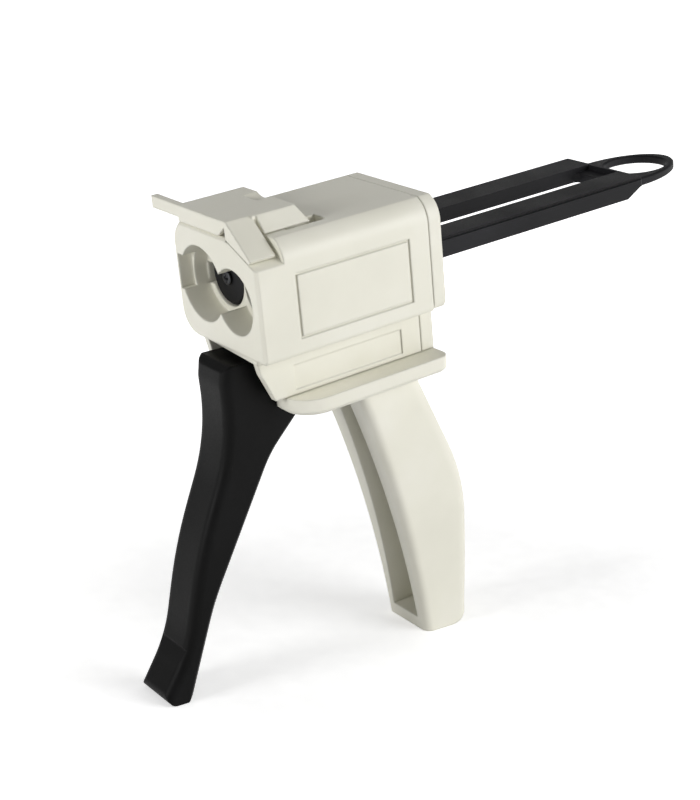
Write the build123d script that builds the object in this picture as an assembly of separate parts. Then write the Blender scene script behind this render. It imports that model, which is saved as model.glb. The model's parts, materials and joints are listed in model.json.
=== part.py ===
from build123d import *
from math import cos, sin, radians, hypot
import os

# Hand-held dispensing gun for twin-barrel cartridges, all sizes in millimetres.
# Everything is drawn in the barrel's own frame: X runs from the muzzle face towards
# the pull ring, Y to the side of the large barrel, Z up, with Z 0 at the casing floor.
# At the end the whole tool leans forward onto its trigger tip and handle foot, and
# the origin is the middle of the handle foot on the surface that it stands on.

# Casing
body_width = 46.0
body_height = 35.5
body_length = 61.0
wall = 2.5
floor_wall = 2.6
roof_wall = 3.0
shoulder_inset = 4.5
shoulder_drop = 7.5
lower_round_near = 1.5
lower_round_far = 8.0
front_chamfer = 0.8
chin_depth = 1.4
chin_near = -17.0
chin_far = 9.0
chin_back = 3.0
panel_front = 13.0
panel_back = 53.8
panel_low = 5.1
panel_high = 25.0
panel_depth = 0.5
panel_groove = 0.7
label_front = 14.3
label_back = 54.0
label_low = -13.6
label_high = -5.8
label_depth = 0.35
roof_pad_back = 32.0
roof_pad_near = -15.5
roof_pad_depth = 2.0

# Twin socket for the cartridge
socket_depth = 9.0
large_socket_radius = 11.75
large_socket_y = 8.7
large_socket_z = 18.2
small_socket_radius = 10.1
small_socket_y = -9.1
small_socket_z = 16.5
back_wall = 5.3
lug_slot_depth = 0.9
lug_slot_height = 11.0
lug_slot_reach = 4.5
lug_slot_inset = 3.0
lug_slot_rise = 1.3

# Plunger
bar_outer_near = 18.4
bar_outer_far = 19.4
bar_inner = 7.0
bar_height = 6.0
bar_top = 20.2
bar_rib = 4.8
bar_end = 153.0
bar_corner = 1.5
bar_step_width = 0.8
bar_step_depth = 0.7
slot_end = 146.5
slot_corner = 2.0
nose_start = 146.0
nose_end = 151.5
nose_height = 3.0
cross_rim = 1.2
cross_depth = 1.6
ring_drop = 1.9
ring_thickness = 2.8
ring_middle = 157.0
ring_end = 181.0
ring_half_width = 14.0
ring_root = 1.0
ring_hole_middle = 166.4
ring_hole_length = 22.0
ring_hole_width = 20.0
ring_chamfer = 0.5
rack_height = 4.7
rack_start = 20.0
rack_width = 4.4
rack_inset = 0.4
rack_margin = 2.0
tooth_pitch = 3.0
tooth_depth = 1.2
plunger_travel = 66.0

# Discs on the plunger
disc_face = 9.3
disc_thickness = 2.4
large_disc_radius = 8.7
small_disc_radius = 7.8
disc_chamfer = 0.6

# Rear collar, neck, flange and handle
collar_depth = 5.0
collar_chamfer = 0.8
trigger_side_room = 0.8
neck_wall = 2.4
neck_front_top = 1.6
neck_front_middle = 2.9
neck_front_low = 7.0
neck_knee = -5.6
neck_height = 15.0
cheek_wall = 2.7
flange_half_width = 23.0
flange_thickness = 5.2
flange_front = 10.6
flange_back = 66.0
flange_front_round = 10.0
flange_back_round = 3.5
flange_chamfer = 1.2
flange_slot_end = 36.4
handle_half_top = 13.3
handle_half_bottom = 11.0
handle_wall = 3.0
handle_bridge = 5.0
handle_back_round = 5.0
handle_front_round = 2.8
handle_hollow_top = 3.4
handle_hollow_bottom = 6.6
foot_x = 62.0
foot_height = -116.1
foot_round = 9.0
lean = 6.8

# Trigger and its arm
trigger_width = 17.0
trigger_round = 3.0
trigger_bevel = 1.6
trigger_slot_gap = 0.6
pivot_x = 22.0
pivot_z = -10.0
arm_length = 17.0
arm_swing = 13.0
arm_half_width = 3.0
hub_radius = 5.5
arm_eye_radius = 3.2
trigger_toe_x = -41.1
trigger_toe_round = 3.2
trigger_heel_x = -30.0

# Pins, bushes and pawls
trigger_pin_radius = 2.0
small_pin_radius = 1.5
bush_wall = 1.0
pawl_gap = 0.75
pawl_half_width = 11.0
pawl_eye_radius = 3.0
pawl_spring_room = 2.0
trigger_spring_y = 3.4
trigger_spring_room = 4.7
trigger_spring_hollow = 3.9
lever_pivot_x = 50.0
lever_pivot_z = 6.0
lever_gap = 0.35
lever_claw_end = 60.4
lever_tab_end = 79.0
release_spring_room = 3.4
lever_tab_half_width = 5.2
lever_thickness = 2.6
lever_rib_width = 3.0
lever_rib_half = 4.0
lever_rib_top = 10.0

# Latch
latch_top = 40.8
latch_length = 23.3
latch_near = -9.4
latch_far = 18.0
latch_wall = 2.0
latch_pin_x = 21.2
latch_pin_z = 37.9
latch_pin_radius = 1.0
latch_pin_near = -10.6
latch_pin_far = 16.8
latch_eye_radius = 2.0
lug_near = -6.4
lug_far = 13.3
lug_width = 4.0
lug_back = 0.8
lug_root = 1.6
wing_length = 8.6
wing_bottom_y = -20.8
wing_bottom_z = 31.2
wing_inner_z = 34.9
wing_lip = 0.9
pocket_end = 30.6
arm_start = 9.8
arm_top_y = -10.5
arm_top_end = 22.9
arm_bottom_y = -14.0
arm_bottom_end = 25.5
notch_top_y = -8.8
notch_bottom_y = -4.6
tab_end = 33.4
tab_height = 3.8
tab_depth = 2.2
scoop_radius = 9.0
scoop_depth = 1.2
scoop_y = 5.8
scoop_start = 18.0
hook_front = 4.6
hook_length = 2.4
hook_near = -2.6
hook_far = 4.6
hook_depth = 5.6

# Screws
screw_y = 17.2
near_screw_z = 6.0
far_screw_z = 8.2
case_screw_radius = 1.3
case_screw_head = 2.6
case_screw_head_height = 1.8
case_screw_sink = 2.4
case_screw_length = 10.0
case_post_length = 8.6
case_post_half = 3.0
frame_screw_x = 49.5
frame_screw_length = 14.0
frame_block_front = 42.0
frame_block_back = 57.0

# Clearances, the lap of pieces that are one body, and how far a cut runs past a face
gap = 0.3
slide_gap = 0.4
pin_gap = 0.04
seam = 0.3
lap = 0.5
over = 1.0


# Worked out from the values above
back_wall_front = socket_depth
back_wall_back = socket_depth + back_wall
collar_front = body_length + seam
collar_back = collar_front + collar_depth
bar_bottom = bar_top - bar_height
rack_low = bar_top - rack_height
bar_start = disc_face + disc_thickness
flange_top = -neck_height - gap
flange_bottom = flange_top - flange_thickness
trigger_half = trigger_width / 2
cheek_inner = trigger_half + trigger_side_room
cheek_outer = cheek_inner + cheek_wall
neck_inner = cheek_outer + gap
neck_half_width = neck_inner + neck_wall
pawl_pin_x = pivot_x + arm_length * sin(radians(arm_swing))
pawl_pin_z = pivot_z + arm_length * cos(radians(arm_swing))
ground = foot_x * sin(radians(lean)) + foot_height * cos(radians(lean))


def ground_z(x):
    """Height, in the barrel's frame, of the surface that the tool stands on."""
    return (ground - x * sin(radians(lean))) / cos(radians(lean))


foot_z = ground_z(foot_x)


def group(pieces):
    """Like pieces kept as separate solids of one sub-part."""
    return Compound([piece.solid() for piece in pieces])


def block(x0, x1, y0, y1, z0, z1):
    """Box between two corners."""
    middle = Pos((x0 + x1) / 2, (y0 + y1) / 2, (z0 + z1) / 2)
    return middle * Box(x1 - x0, y1 - y0, z1 - z0)


def rod(x, z, radius, y0, y1):
    """Round bar along Y."""
    return Pos(x, (y0 + y1) / 2, z) * Rot(90, 0, 0) * Cylinder(radius, y1 - y0)


def peg(y, z, radius, x0, x1):
    """Round bar along X."""
    return Pos((x0 + x1) / 2, y, z) * Rot(0, 90, 0) * Cylinder(radius, x1 - x0)


def slab(face, y0, y1):
    """Face drawn in X and Z, made solid between two values of Y."""
    return Pos(0, y1, 0) * extrude(Plane.XZ * face, y1 - y0)


def beam(face, x0, x1):
    """Face drawn in Y and Z, made solid between two values of X."""
    return Pos(x0, 0, 0) * extrude(Plane.YZ * face, x1 - x0)


def plate(face, z0, z1):
    """Face drawn in X and Y, made solid between two values of Z."""
    return Pos(0, 0, z0) * extrude(face, z1 - z0)


def outline(*points):
    """Closed face through corner points."""
    return make_face(Polyline(*points, close=True))


def casing_face(inset, low, high, near_round, far_round):
    """Cross-section of the casing, drawn in by an inset, with its two shoulders."""
    half = body_width / 2 - inset
    flat = body_width / 2 - shoulder_inset - inset / 2
    spring = high - shoulder_drop
    near = TangentArc((-half, spring), (-flat, high), tangent=(0, 1))
    far = TangentArc((half, spring), (flat, high), tangent=(0, 1))
    lines = [near, Line((-flat, high), (flat, high)), far]
    lines += [Line((half, spring), (half, low)), Line((half, low), (-half, low))]
    lines += [Line((-half, low), (-half, spring))]
    face = make_face(lines)
    corners = face.vertices().group_by(Axis.Y)[0].sort_by(Axis.X)
    face = fillet(corners[-1], far_round)
    corners = face.vertices().sort_by_distance((-half, low, 0))
    return fillet(corners[0], near_round)


def bar_windows(x0, x1, room):
    """Two openings that the plunger's bars slide through."""
    low = bar_bottom - room
    high = bar_top + room
    near = block(x0, x1, -bar_outer_near - room, -bar_inner + room, low, high)
    far = block(x0, x1, bar_inner - room, bar_outer_far + room, low, high)
    return [near, far]


def make_housing():
    """Front housing: casing with its twin socket, and the neck skirt below it."""
    high = body_height
    case = beam(casing_face(0, 0, high, lower_round_near, lower_round_far), 0, body_length)
    front = case.faces().sort_by(Axis.X)[0]
    case = chamfer(front.edges(), front_chamfer)
    room = casing_face(wall, floor_wall, high - roof_wall, 1.0, lower_round_far - wall)
    case -= beam(room, back_wall_back, body_length + over)
    case -= peg(large_socket_y, large_socket_z, large_socket_radius, -over, socket_depth)
    case -= peg(small_socket_y, small_socket_z, small_socket_radius, -over, socket_depth)
    slot_y = large_socket_y + large_socket_radius
    slot_z = large_socket_z + lug_slot_rise
    half = lug_slot_height / 2
    case -= block(-over, lug_slot_reach, slot_y - lug_slot_inset, slot_y + lug_slot_depth,
                  slot_z - half, slot_z + half)
    for y, z, radius in disc_places():
        case -= peg(y, z, radius + slide_gap, socket_depth - over, bar_start + gap)
    case -= bar_windows(socket_depth - over, back_wall_back + over, slide_gap)

    skirt_low = -neck_height
    side = outline((neck_front_top, lap), (neck_front_middle, neck_knee), (neck_front_low, skirt_low),
                   (body_length, skirt_low), (body_length, lap))
    skirt = slab(side, -neck_half_width, neck_half_width)
    skirt -= slab(side, -neck_inner, neck_inner)
    case += skirt
    # Shallow lip below the muzzle, deeper towards the near side
    chin = outline((chin_near, -chin_depth), (chin_far, 0), (chin_far, lap), (chin_near, lap))
    case += beam(chin, front_chamfer, chin_back)
    for side_sign in (-1, 1):
        case -= label_frame(side_sign)
    case -= side_panel()

    # Slot in the floor for the trigger's arm, and for the release lever's ears
    slot_front = pawl_pin_x - 2 * (pawl_pin_x - pivot_x) - arm_eye_radius - 0.5
    slot_half = arm_half_width + 1
    case -= block(slot_front, pawl_pin_x + 8, -slot_half, slot_half, -chin_depth - over, floor_wall + over)
    case += lever_bearings()
    case += screw_posts()
    roof = body_height - roof_wall
    case += block(back_wall_back - lap, roof_pad_back, roof_pad_near, latch_far, roof - roof_pad_depth,
                  roof + lap)
    case -= latch_seat()
    case += latch_lugs()
    for y, z in screw_places():
        case -= peg(y, z, case_screw_radius, body_length - case_post_length + 1, body_length + over)
    # Block below the floor that takes the screw from the handle
    half = cheek_inner - gap
    case += block(frame_block_front, frame_block_back, -half, half, -neck_height, lap)
    return case - Pos(frame_screw_x, 0, -neck_height / 2) * Cylinder(case_screw_radius, neck_height + 0.2)


def label_frame(side_sign):
    """Shallow bare field on the side of the neck."""
    y0 = side_sign * (neck_half_width - label_depth)
    y1 = side_sign * (neck_half_width + over)
    return block(label_front, label_back, min(y0, y1), max(y0, y1), label_low, label_high)


def side_panel():
    """Narrow groove round a bare panel on the near side of the casing."""
    y0 = -body_width / 2 - over
    y1 = -body_width / 2 + panel_depth
    ring = block(panel_front, panel_back, y0, y1, panel_low, panel_high)
    inset = panel_groove
    return ring - block(panel_front + inset, panel_back - inset, y0 - over, y1 + over,
                        panel_low + inset, panel_high - inset)


def lever_bearings():
    """Two ribs on the casing floor that carry the release lever's pin."""
    ribs = []
    y0 = pawl_half_width + gap
    y1 = y0 + lever_rib_width
    half = lever_rib_half
    for side_sign in (-1, 1):
        low = min(side_sign * y0, side_sign * y1)
        high = max(side_sign * y0, side_sign * y1)
        rib = block(lever_pivot_x - half, lever_pivot_x + half, low, high, floor_wall - lap, lever_rib_top)
        rib -= rod(lever_pivot_x, lever_pivot_z, small_pin_radius + pin_gap / 2, low - over, high + over)
        ribs.append(rib)
    return ribs


def screw_places():
    """Places in Y and Z of the two screws that join the collar to the casing."""
    return [(-screw_y, near_screw_z), (screw_y, far_screw_z)]


def screw_posts():
    """Square posts inside the casing that take the collar screws."""
    posts = []
    half = case_post_half
    start = body_length - case_post_length
    for y, z in screw_places():
        outer = y + half + 2 if y > 0 else y - half - 2
        inner = y - half if y > 0 else y + half
        posts.append(block(start, body_length, min(inner, outer), max(inner, outer), z - half, z + half))
    return posts


def disc_places():
    """Centre height, side and radius of the two discs."""
    large = (large_socket_y, large_socket_z - 0.4, large_disc_radius)
    small = (small_socket_y, small_socket_z + 0.6, small_disc_radius)
    return [large, small]


def latch_seat():
    """Cut-outs in the casing top that the latch lies in and swings through."""
    # Slanted seat below the wing, along the near shoulder
    slope = (wing_inner_z - wing_bottom_z + wing_lip) / (latch_near - wing_bottom_y - wing_lip)
    run = 3.9
    y0 = wing_bottom_y + wing_lip - run
    z0 = wing_bottom_z - wing_lip - gap - run * slope
    y1 = latch_near + 1 + gap
    z1 = wing_inner_z - gap
    wedge = outline((y0, z0), (latch_near, z1), (y1, z1), (y1, z1 + body_height), (y0, z1 + body_height))
    cuts = [beam(wedge, -over, wing_length + 1.2)]
    # Pocket that the arm's tail turns down into, and the groove behind the plate
    tail = hypot(arm_bottom_end - latch_pin_x, latch_pin_z - body_height - gap) + gap
    pocket_y = arm_bottom_y - 0.8
    pocket = rod(latch_pin_x, latch_pin_z, tail, pocket_y, latch_near + 1)
    pocket += block(latch_pin_x, pocket_end, pocket_y, latch_near + 1, latch_pin_z - tail, latch_pin_z)
    cuts.append(pocket)
    corner = hypot(latch_length - latch_pin_x, latch_pin_z - body_height - gap) + gap
    cuts.append(rod(latch_pin_x, latch_pin_z, corner, latch_near, latch_far + gap))
    # Slot for the hook that holds the cartridge
    cuts.append(block(hook_front - 2.2, hook_front + hook_length + 1.4, hook_near - 0.8, hook_far + 0.8,
                      body_height - hook_depth - 1, body_height + over))
    return cuts


def latch_lugs():
    """Two lugs on the casing top that carry the latch's pin, cut back behind for its swing."""
    lugs = []
    for y in (lug_near, lug_far):
        y0 = y - lug_width / 2
        y1 = y + lug_width / 2
        lug = block(latch_pin_x - latch_eye_radius, latch_pin_x + lug_back, y0, y1,
                    body_height - lug_root, latch_pin_z)
        lug += rod(latch_pin_x, latch_pin_z, latch_eye_radius, y0, y1)
        lug -= rod(latch_pin_x, latch_pin_z, latch_pin_radius, y0 - over, y1 + over)
        lugs.append(lug)
    return lugs


def make_rear_cap():
    """Rear cap: the collar that closes the casing, and the end of the neck."""
    face = casing_face(0, 0, body_height, lower_round_near + 1.5, lower_round_far)
    collar = beam(face, collar_front, collar_back)
    rear = collar.faces().sort_by(Axis.X)[-1]
    collar = chamfer(rear.edges(), collar_chamfer)
    collar -= bar_windows(collar_front - over, collar_back + over, slide_gap)
    half = lever_tab_half_width + 1
    collar -= block(collar_front - over, collar_back + over, -half, half, 1.4, 10.6)
    for y, z in screw_places():
        collar -= peg(y, z, case_screw_radius + gap, collar_front - over, collar_back + over)
        collar -= peg(y, z, case_screw_head + gap, collar_back - case_screw_sink, collar_back + over)
    half = neck_half_width
    return collar + block(collar_front, collar_back - 0.4, -half, half, flange_top + gap, lap)


def make_handle_frame():
    """Handle frame: cheeks that stand inside the neck, flange and hollow handle."""
    frame = make_flange()
    top = -lap - gap
    back = collar_front - gap
    for side_sign in (-1, 1):
        a = side_sign * cheek_inner
        b = side_sign * cheek_outer
        cheek = outline((pivot_x - 8, flange_top - lap), (pivot_x - 8, pivot_z + 2), (pivot_x - 4, top),
                        (back, top), (back, flange_top - lap))
        frame += slab(cheek, min(a, b), max(a, b))
    frame += make_handle()
    frame -= rod(pivot_x, pivot_z, trigger_pin_radius + bush_wall, -cheek_outer - over, cheek_outer + over)
    hole = Cylinder(case_screw_radius + gap, flange_thickness + 2 * over)
    return frame - Pos(frame_screw_x, 0, flange_bottom + flange_thickness / 2) * hole


def make_flange():
    """Broad plate under the neck, slotted for the trigger's swing."""
    half = flange_half_width
    face = outline((flange_front, -half), (flange_back, -half), (flange_back, half), (flange_front, half))
    front = face.vertices().group_by(Axis.X)[0]
    face = fillet(front, flange_front_round)
    back = face.vertices().group_by(Axis.X)[-1]
    face = fillet(back, flange_back_round)
    flange = plate(face, flange_bottom, flange_top)
    under = flange.faces().sort_by(Axis.Z)[0]
    flange = chamfer(under.edges(), flange_chamfer)
    slot_half = trigger_half + trigger_slot_gap
    flange -= block(0, flange_slot_end, -slot_half, slot_half, flange_bottom - over, flange_top + over)
    return flange


def handle_face(inset, top, low):
    """Side outline of the handle: bowed front, back that leans out and then turns down."""
    knee = (73.1 - inset, -52.0)
    belly = (77.9 - inset, -79.0)
    heel = (75.9 - inset, -110.6)
    head = (59.9 - inset, top)
    foot = (75.4 - inset, low)
    front = [(36.7, top), (51.7, -74.5), (57.9, low)]
    rise = TangentArc(knee, belly, tangent=(knee[0] - head[0], knee[1] - head[1]))
    fall = TangentArc(belly, heel, tangent=rise % 1)
    return make_face([
        ThreePointArc(*front), Line(front[2], foot), Line(foot, heel), fall, rise, Line(knee, head),
        Line(head, front[0]),
    ])


def tapered(half_top, half_low, low):
    """Block between two side planes that lean towards each other on the way down or up."""
    top = flange_bottom + lap
    face = outline((-half_top, top), (half_top, top), (half_low, low), (-half_low, low))
    return beam(face, 0, 2 * foot_x)


def handle_half(half_low, top, low):
    """Far half of the handle: its side outline, driven in square to the side plane, which leans."""
    slope = (handle_half_top - half_low) / (top - low)
    side = Plane(origin=(0, handle_half_top, top), x_dir=(1, 0, 0), z_dir=(0, -1, slope))
    half = extrude(side * Pos(0, -top) * handle_face(0, top, low), flange_half_width)
    half &= block(0, 2 * foot_x, 0, flange_half_width, 2 * low, 0)
    outer = half.faces().sort_by(Axis.Y)[-1]
    long_edges = outer.edges().filter_by(lambda e: low + 1 < e.center().Z < top - 1)
    half = fillet(long_edges.filter_by(lambda e: e.center().X > foot_x), handle_back_round)
    outer = half.faces().sort_by(Axis.Y)[-1]
    long_edges = outer.edges().filter_by(lambda e: low + 1 < e.center().Z < top - 1)
    return fillet(long_edges.filter_by(lambda e: e.center().X < foot_x - 5), handle_front_round)


def make_handle():
    """Hollow handle, a thick-walled channel that is open towards the trigger."""
    top = flange_bottom + lap
    low = foot_height - 8
    reach = (foot_height - low) / (flange_bottom - foot_height)
    half_low = handle_half_bottom - (handle_half_top - handle_half_bottom) * reach
    half = handle_half(half_low, top, low)
    shell = half + mirror(half, about=Plane.XZ)
    # Channel, from the flange down to the bridge above the foot
    bridge = foot_height + handle_bridge
    hollow = slab(handle_face(handle_wall, top, low), -flange_half_width, flange_half_width)
    hollow = Pos(-handle_wall, 0, 0) * hollow + hollow
    hollow &= tapered(handle_hollow_top, handle_hollow_bottom, bridge)
    hollow -= block(0, 2 * foot_x, -flange_half_width, flange_half_width, flange_bottom, 0)
    shell -= hollow
    # Flat foot on the ground, rounded up at the back
    x0 = 0.0
    x1 = 90.0
    x2 = 76.2
    sole = outline((x0, flange_bottom + lap), (x0, ground_z(x0)), (x2, ground_z(x2)), (x2 + 2.6, -90.0),
                   (x1, -70.0), (x1, flange_bottom + lap))
    sole = round_corner(sole, x2, ground_z(x2), foot_round)
    return shell & slab(sole, -flange_half_width, flange_half_width)


def round_corner(face, x, z, radius):
    """Face with its corner nearest to a point rounded."""
    return fillet(face.vertices().sort_by_distance((x, z, 0))[0], radius)


def trigger_face():
    """Side outline of the trigger, run on past the ground: brow, finger curve and back."""
    corners = [
        (-6.5, -8.6, 10.0), (-6.1, -27.0, 60.0), (-21.5, -59.5, 150.0), (-29.5, -88.0, 45.0),
        (-17.8, -76.0, 90.0), (7.5, -34.6, 35.0), (25.2, -18.4, 6.0),
    ]
    points = [(x, z) for x, z, radius in corners]
    brow = [(-3.3, -2.7), (-5.7, -4.4)]
    low = [(-47.0, -112.0), (-32.9, -112.0)]
    hub = [(pivot_x + 5.6, pivot_z - 2), (pivot_x + 2, pivot_z + 5.7)]
    face = outline(*brow, *points[:4], *low, *points[4:], *hub)
    for x, z, radius in corners:
        face = round_corner(face, x, z, radius)
    return face


def trigger_sole():
    """Outline that cuts the trigger off at the ground, with its rounded toe and heel."""
    toe = (trigger_toe_x, ground_z(trigger_toe_x))
    heel = (trigger_heel_x, ground_z(trigger_heel_x))
    sole = outline((-29.6, -88.0), toe, heel, (-17.7, -76.0), (foot_x, -60.0), (foot_x, 10.0), (-foot_x, 10.0),
                   (-foot_x, -60.0))
    sole = round_corner(sole, *toe, trigger_toe_round)
    return round_corner(sole, *heel, trigger_toe_round)


def make_trigger():
    """Trigger with its rounded finger face and the arm that drives the pawl."""
    body = slab(trigger_face(), -trigger_half, trigger_half)
    long_edges = body.edges().filter_by(lambda e: abs(abs(e.center().Y) - trigger_half) < 0.01)
    # Fully rounded in front for the fingers, a plain bevel behind
    front = long_edges.filter_by(lambda e: e.center().X < -5 and e.center().Z > -80)
    body = fillet(front.sort_by(Axis.Z)[-4:], trigger_round)
    long_edges = body.edges().filter_by(lambda e: abs(abs(e.center().Y) - trigger_half) < 0.01)
    back = long_edges.filter_by(lambda e: e.center().X > -17 and -76 < e.center().Z < -20 and e.length > 20)
    body = chamfer(back, trigger_bevel)
    body &= slab(trigger_sole(), -trigger_width, trigger_width)
    arm = outline((pivot_x - 4.5, pivot_z + 3), (pawl_pin_x - 3.0, pawl_pin_z), (pawl_pin_x + 3.0, pawl_pin_z),
                  (pivot_x + 5.0, pivot_z + 2))
    body += slab(arm, -arm_half_width, arm_half_width)
    body += rod(pawl_pin_x, pawl_pin_z, arm_eye_radius, -arm_half_width, arm_half_width)
    room = trigger_spring_hollow
    y0 = trigger_spring_y
    y1 = trigger_spring_y + trigger_spring_room
    body -= rod(pivot_x, pivot_z, room, y0, y1)
    body -= block(pivot_x - room, pivot_x + 10, y0, y1, pivot_z, pivot_z + 10)
    body -= rod(pivot_x, pivot_z, trigger_pin_radius + pin_gap, -trigger_half - over, trigger_half + over)
    body -= rod(pawl_pin_x, pawl_pin_z, small_pin_radius + pin_gap, -trigger_half, trigger_half)
    return body


def make_plunger():
    """Twin-bar plunger with racks on its underside, crossbar and pull ring."""
    near = -bar_outer_near
    far = bar_outer_far
    plan = outline((bar_start, near), (bar_end, near), (bar_end, far), (bar_start, far))
    plan = fillet(plan.vertices().group_by(Axis.X)[-1], bar_corner)
    slot = outline((0, -bar_inner), (slot_end, -bar_inner), (slot_end, bar_inner), (0, bar_inner))
    slot = fillet(slot.vertices().group_by(Axis.X)[-1], slot_corner)
    bars = plate(plan - slot, bar_bottom, bar_top)
    # Only a rib along the outside of each bar has the full height
    bars -= block(0, bar_end + over, near + bar_rib, far - bar_rib, bar_bottom - over, rack_low)
    # The underside slants up to the end of the bars, and the crossbar is sunk between them
    high = bar_top - nose_height
    nose = outline((nose_start, bar_bottom - over), (nose_start, bar_bottom), (nose_end, high),
                   (bar_end + over, high), (bar_end + over, bar_bottom - over))
    bars -= slab(nose, near - over, far + over)
    bars -= block(slot_end - over, bar_end - cross_rim, -bar_inner, bar_inner, bar_top - cross_depth,
                  bar_top + over)
    # Step along the outer top edges, and the saw teeth below
    step = bar_top - bar_step_depth
    bars -= block(bar_start - over, bar_end + over, near - over, near + bar_step_width, step, bar_top + over)
    bars -= block(bar_start - over, bar_end + over, far - bar_step_width, far + over, step, bar_top + over)
    rack_near = bar_inner + rack_inset
    bars -= rack_cut(-rack_near - rack_width, -rack_near)
    bars -= rack_cut(rack_near, rack_near + rack_width)
    bars += pull_ring()
    return bars


def rack_cut(y0, y1):
    """Saw teeth along the underside of one bar, one outline for the whole row."""
    count = int((slot_end - rack_margin - rack_start) / tooth_pitch)
    points = [(rack_start, rack_low - over)]
    for i in range(count):
        x = rack_start + i * tooth_pitch
        points.append((x, rack_low))
        points.append((x, rack_low + tooth_depth))
    last = rack_start + count * tooth_pitch
    points.append((last, rack_low))
    points.append((last, rack_low - over))
    return slab(outline(*points), y0, y1)


def pull_ring():
    """Flat oval pull ring behind the crossbar."""
    high = bar_top - ring_drop
    low = high - ring_thickness
    half = ring_half_width
    oval = plate(Pos(ring_middle, 0) * Ellipse(ring_end - ring_middle, half), low, high)
    ring = oval & block(ring_middle, ring_end + over, -half, half, low, high)
    ring += block(bar_end - ring_root, ring_middle, -half, half, low, high)
    ring -= plate(Pos(ring_hole_middle, 0) * Ellipse(ring_hole_length / 2, ring_hole_width / 2), low, high)
    rim = ring.faces().sort_by(Axis.Z)
    edges = rim[0].edges() + rim[-1].edges()
    return chamfer(edges.filter_by(lambda e: e.center().X > bar_end), ring_chamfer)


def make_disc(index):
    """Piston disc, pressed onto the front of its bar."""
    y, z, radius = disc_places()[index]
    disc = peg(y, z, radius, disc_face, disc_face + disc_thickness)
    return chamfer(disc.faces().sort_by(Axis.X)[0].edges(), disc_chamfer)


def make_frame_screw():
    """Screw up through the flange into the block below the casing's floor."""
    height = case_screw_head_height
    middle = flange_bottom + (frame_screw_length - lap) / 2
    screw = Pos(frame_screw_x, 0, middle) * Cylinder(case_screw_radius, frame_screw_length + lap)
    return screw + Pos(frame_screw_x, 0, flange_bottom - height / 2) * Cylinder(case_screw_head, height)


def make_cap_screws():
    """Two screws through the rear cap into the casing's posts."""
    screws = []
    start = collar_back - case_screw_sink
    for y, z in screw_places():
        screw = peg(y, z, case_screw_radius, start - case_screw_length, start + lap)
        screws.append(screw + peg(y, z, case_screw_head, start, start + case_screw_head_height))
    return group(screws)


def make_trigger_pin():
    """Steel pin that the trigger turns on."""
    return rod(pivot_x, pivot_z, trigger_pin_radius, -cheek_outer, cheek_outer)


def make_trigger_bushes():
    """Two plain bushes in the cheeks that hold the trigger pin."""
    bushes = []
    for side_sign in (-1, 1):
        a = side_sign * cheek_inner
        b = side_sign * cheek_outer
        bush = rod(pivot_x, pivot_z, trigger_pin_radius + bush_wall, min(a, b), max(a, b))
        bush -= rod(pivot_x, pivot_z, trigger_pin_radius, min(a, b) - 1, max(a, b) + 1)
        bushes.append(bush)
    return group(bushes)


def make_drive_pawl():
    """Fork that hooks into both racks and is pulled forward by the trigger's arm."""
    tip_z = rack_low - pawl_gap
    y0 = arm_half_width + pawl_spring_room
    side = outline((pawl_pin_x - 2.6, pawl_pin_z - 1.8), (pawl_pin_x - 2.6, pawl_pin_z + 1.8),
                   (pawl_pin_x + 6.2, tip_z), (pawl_pin_x + 8.6, tip_z), (pawl_pin_x + 7.2, pawl_pin_z - 0.4),
                   (pawl_pin_x + 1.0, pawl_pin_z - 2.6))
    half = pawl_half_width
    pawl = slab(side, -half, half)
    pawl += rod(pawl_pin_x, pawl_pin_z, pawl_eye_radius, -half, half)
    pawl -= block(pawl_pin_x - 6, pawl_pin_x + 4.4, -y0, y0, pawl_pin_z - 6, pawl_pin_z + 8)
    pawl -= rod(pawl_pin_x, pawl_pin_z, small_pin_radius + pin_gap, -half - over, half + over)
    return pawl


def make_drive_pawl_pin():
    """Steel pin through the trigger's arm and the drive pawl."""
    return rod(pawl_pin_x, pawl_pin_z, small_pin_radius, -pawl_half_width, pawl_half_width)


def make_release_lever():
    """Holding pawl with the thumb tab that frees the plunger."""
    tip_z = rack_low - lever_gap
    z0 = lever_pivot_z - lever_thickness / 2
    z1 = lever_pivot_z + lever_thickness / 2
    half = pawl_half_width
    lever = block(lever_pivot_x, lever_claw_end, -half, half, z0, z1)
    lever += rod(lever_pivot_x, lever_pivot_z, pawl_eye_radius, -half, half)
    claw = outline((lever_claw_end - 4.4, z0 + 0.5), (lever_claw_end - 3.0, tip_z), (lever_claw_end - 1.6, tip_z),
                   (lever_claw_end, z1), (lever_claw_end, z0))
    lever += slab(claw, -half, -bar_inner)
    lever += slab(claw, bar_inner, half)
    tab = block(lever_claw_end - 2.4, lever_tab_end, -lever_tab_half_width, lever_tab_half_width, z0, z1)
    rear = tab.faces().sort_by(Axis.X)[-1]
    lever += fillet(rear.edges().filter_by(Axis.Z), 2.4)
    lever -= rod(lever_pivot_x, lever_pivot_z, small_pin_radius + pin_gap, -half - over, half + over)
    lever -= block(lever_pivot_x - 4, lever_pivot_x + 4, -release_spring_room, release_spring_room, 0, 12)
    return lever


def make_release_pin():
    """Steel pin that the release lever turns on."""
    reach = pawl_half_width + gap + lever_rib_width
    return rod(lever_pivot_x, lever_pivot_z, small_pin_radius, -reach, reach)


def coil(x, z, radius, wire, turns, y0, leg):
    """Torsion spring on a pin along Y: six-sided wire in straight runs, with two legs up."""
    runs = 8
    pitch = wire * 1.25
    steps = int(runs * turns) + runs // 2
    sections = [wire_section(x - radius, y0, z + leg, wire, 0)]
    for i in range(steps + 1):
        angle = 360 * i / runs
        along = y0 + pitch * i / runs
        cx = x - radius * cos(radians(angle))
        cz = z - radius * sin(radians(angle))
        sections.append(wire_section(cx, along, cz, wire, -angle))
    sections.append(wire_section(x + radius, y0 + pitch * steps / runs, z + leg, wire, -360 * steps / runs))
    return loft(sections, ruled=True)


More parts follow.
